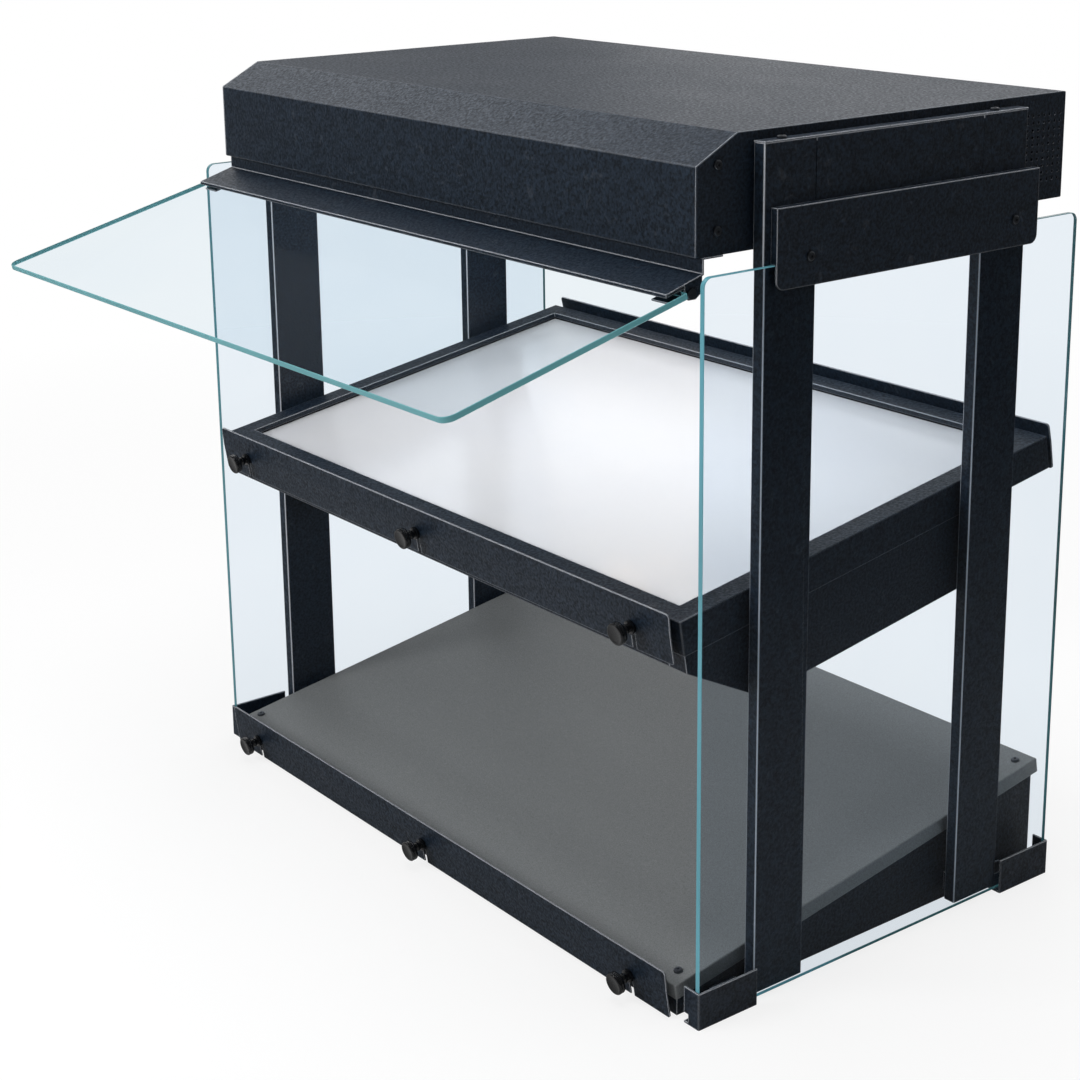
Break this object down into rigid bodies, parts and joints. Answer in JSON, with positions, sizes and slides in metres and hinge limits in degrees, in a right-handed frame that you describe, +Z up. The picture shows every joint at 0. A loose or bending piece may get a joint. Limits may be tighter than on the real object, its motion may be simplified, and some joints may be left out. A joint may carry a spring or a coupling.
{
  "type": "heated display case",
  "caption": "Countertop heated display case with a sloping heated base, a sloping glass shelf, clear glass sides, a heated and lit hood and a flip-up front pane.",
  "frame": {"origin": "centre of the base's underside, on the counter, midway between the four glass shoes", "axes": "+Z up, -Y towards the customer's side with the flip-up pane, +X to the right along the front"},
  "size_m": [0.8892, 0.8008, 0.8445],
  "materials": {
    "powder_coat": "fine-grained near-black blue powder coat, satin",
    "grey_plate": "smooth mid-grey hard coat, satin",
    "clear_glass": "polished clear glass with green-blue edges",
    "screw_steel": "dull plated steel",
    "reflector_metal": "bright satin",
    "element_sheath": "dark heat-toned sheath",
    "ceramic": "glazed off-white",
    "lamp_glass": "clear lamp glass",
    "soft_rubber": "matt black",
    "black_knob": "gloss black",
    "control_plastic": "matt black",
    "heater_silicone": "red-brown silicone, matt",
    "mineral_board": "pale fibrous board",
    "cable_jacket": "matt black"
  },
  "bodies": {
    "case": {"base_body": "powder_coat", "base_plate": "grey_plate", "clamp_plates": "powder_coat", "clamp_screws": "screw_steel", "cord_gland": "control_plastic", "element_clips": "screw_steel", "fascia_standoffs": "screw_steel", "flip_hinge_pins": "screw_steel", "frame_bolts": "screw_steel", "frame_caps": "powder_coat", "frame_spacers": "powder_coat", "front_posts": "powder_coat", "glass_pads": "soft_rubber", "glass_shoes": "powder_coat", "heater_element": "element_sheath", "heater_guard": "screw_steel", "heater_pad": "heater_silicone", "hood_ends": "powder_coat", "hood_pan": "reflector_metal", "hood_reflectors": "reflector_metal", "hood_shell": "powder_coat", "insulation_board": "mineral_board", "insulation_tray": "reflector_metal", "lamp_sockets": "ceramic", "lamps": "lamp_glass", "pane_busbars": "reflector_metal", "pane_gaskets": "soft_rubber", "panel_screws": "screw_steel", "rear_post_left": "powder_coat", "rear_post_right": "powder_coat", "shelf_ducts": "powder_coat", "shelf_frame": "powder_coat", "shelf_pane": "clear_glass", "shelf_rails": "powder_coat", "side_glass_left": "clear_glass", "side_glass_right": "clear_glass", "supply_cable": "cable_jacket", "switch_bodies": "control_plastic", "terminal_blocks": "ceramic", "thermostats": "control_plastic", "top_rails": "powder_coat", "visor": "powder_coat"},
    "flip_pane": {"flip_glass": "clear_glass", "flip_clasps": "powder_coat"},
    "shelf_front_fascia": {"shelf_front_fascia": "powder_coat"},
    "shelf_rear_fascia": {"shelf_rear_fascia": "powder_coat"},
    "base_front_fascia": {"base_front_fascia": "powder_coat"},
    "shelf_front_thumbscrew_left": {"shelf_front_thumbscrew_left": "black_knob"},
    "shelf_front_thumbscrew_middle": {"shelf_front_thumbscrew_middle": "black_knob"},
    "shelf_front_thumbscrew_right": {"shelf_front_thumbscrew_right": "black_knob"},
    "shelf_rear_thumbscrew_left": {"shelf_rear_thumbscrew_left": "black_knob"},
    "shelf_rear_thumbscrew_middle": {"shelf_rear_thumbscrew_middle": "black_knob"},
    "shelf_rear_thumbscrew_right": {"shelf_rear_thumbscrew_right": "black_knob"},
    "base_front_thumbscrew_left": {"base_front_thumbscrew_left": "black_knob"},
    "base_front_thumbscrew_middle": {"base_front_thumbscrew_middle": "black_knob"},
    "base_front_thumbscrew_right": {"base_front_thumbscrew_right": "black_knob"},
    "power_rocker": {"power_rocker": "black_knob"},
    "lamp_rocker": {"lamp_rocker": "black_knob"},
    "base_heat_dial": {"base_heat_dial": "black_knob"},
    "hood_heat_dial": {"hood_heat_dial": "black_knob"}
  },
  "joints": [
    {"name": "flip_pane_hinge", "type": "hinge", "parent": "case", "child": "flip_pane", "pos_m": [0, -0.243, 0.708], "axis": [1, 0, 0], "range_deg": [0, 75.5]},
    {"name": "shelf_front_fascia_lift", "type": "slide", "parent": "case", "child": "shelf_front_fascia", "axis": [0, -0.1633, 0.9866], "range_m": [0, 0.03]},
    {"name": "shelf_rear_fascia_lift", "type": "slide", "parent": "case", "child": "shelf_rear_fascia", "axis": [0, -0.1633, 0.9866], "range_m": [0, 0.03]},
    {"name": "base_front_fascia_lift", "type": "slide", "parent": "case", "child": "base_front_fascia", "axis": [0, -0.1633, 0.9866], "range_m": [0, 0.03]},
    {"name": "shelf_front_thumbscrew_left_turn", "type": "hinge", "parent": "case", "child": "shelf_front_thumbscrew_left", "pos_m": [-0.3547, -0.25013, 0.38651], "axis": [0, -0.9866, -0.1633], "continuous": true},
    {"name": "shelf_front_thumbscrew_middle_turn", "type": "hinge", "parent": "case", "child": "shelf_front_thumbscrew_middle", "pos_m": [0, -0.25013, 0.38651], "axis": [0, -0.9866, -0.1633], "continuous": true},
    {"name": "shelf_front_thumbscrew_right_turn", "type": "hinge", "parent": "case", "child": "shelf_front_thumbscrew_right", "pos_m": [0.3547, -0.25013, 0.38651], "axis": [0, -0.9866, -0.1633], "continuous": true},
    {"name": "shelf_rear_thumbscrew_left_turn", "type": "hinge", "parent": "case", "child": "shelf_rear_thumbscrew_left", "pos_m": [0.3547, 0.25401, 0.46997], "axis": [0, 0.9866, 0.1633], "continuous": true},
    {"name": "shelf_rear_thumbscrew_middle_turn", "type": "hinge", "parent": "case", "child": "shelf_rear_thumbscrew_middle", "pos_m": [0, 0.25401, 0.46997], "axis": [0, 0.9866, 0.1633], "continuous": true},
    {"name": "shelf_rear_thumbscrew_right_turn", "type": "hinge", "parent": "case", "child": "shelf_rear_thumbscrew_right", "pos_m": [-0.3547, 0.25401, 0.46997], "axis": [0, 0.9866, 0.1633], "continuous": true},
    {"name": "base_front_thumbscrew_left_turn", "type": "hinge", "parent": "case", "child": "base_front_thumbscrew_left", "pos_m": [-0.3547, -0.25346, 0.0263], "axis": [0, -0.9866, -0.1633], "continuous": true},
    {"name": "base_front_thumbscrew_middle_turn", "type": "hinge", "parent": "case", "child": "base_front_thumbscrew_middle", "pos_m": [0, -0.25346, 0.0263], "axis": [0, -0.9866, -0.1633], "continuous": true},
    {"name": "base_front_thumbscrew_right_turn", "type": "hinge", "parent": "case", "child": "base_front_thumbscrew_right", "pos_m": [0.3547, -0.25346, 0.0263], "axis": [0, -0.9866, -0.1633], "continuous": true},
    {"name": "power_rocker_tip", "type": "hinge", "parent": "case", "child": "power_rocker", "pos_m": [0.345, 0.25562, 0.046], "axis": [1, 0, 0], "range_deg": [0, 16]},
    {"name": "lamp_rocker_tip", "type": "hinge", "parent": "case", "child": "lamp_rocker", "pos_m": [0.305, 0.25562, 0.046], "axis": [1, 0, 0], "range_deg": [0, 16]},
    {"name": "base_heat_dial_turn", "type": "hinge", "parent": "case", "child": "base_heat_dial", "pos_m": [0.245, 0.25862, 0.046], "axis": [0, -1, 0], "range_deg": [0, 270]},
    {"name": "hood_heat_dial_turn", "type": "hinge", "parent": "case", "child": "hood_heat_dial", "pos_m": [0.185, 0.25862, 0.046], "axis": [0, -1, 0], "range_deg": [0, 270]}
  ]
}
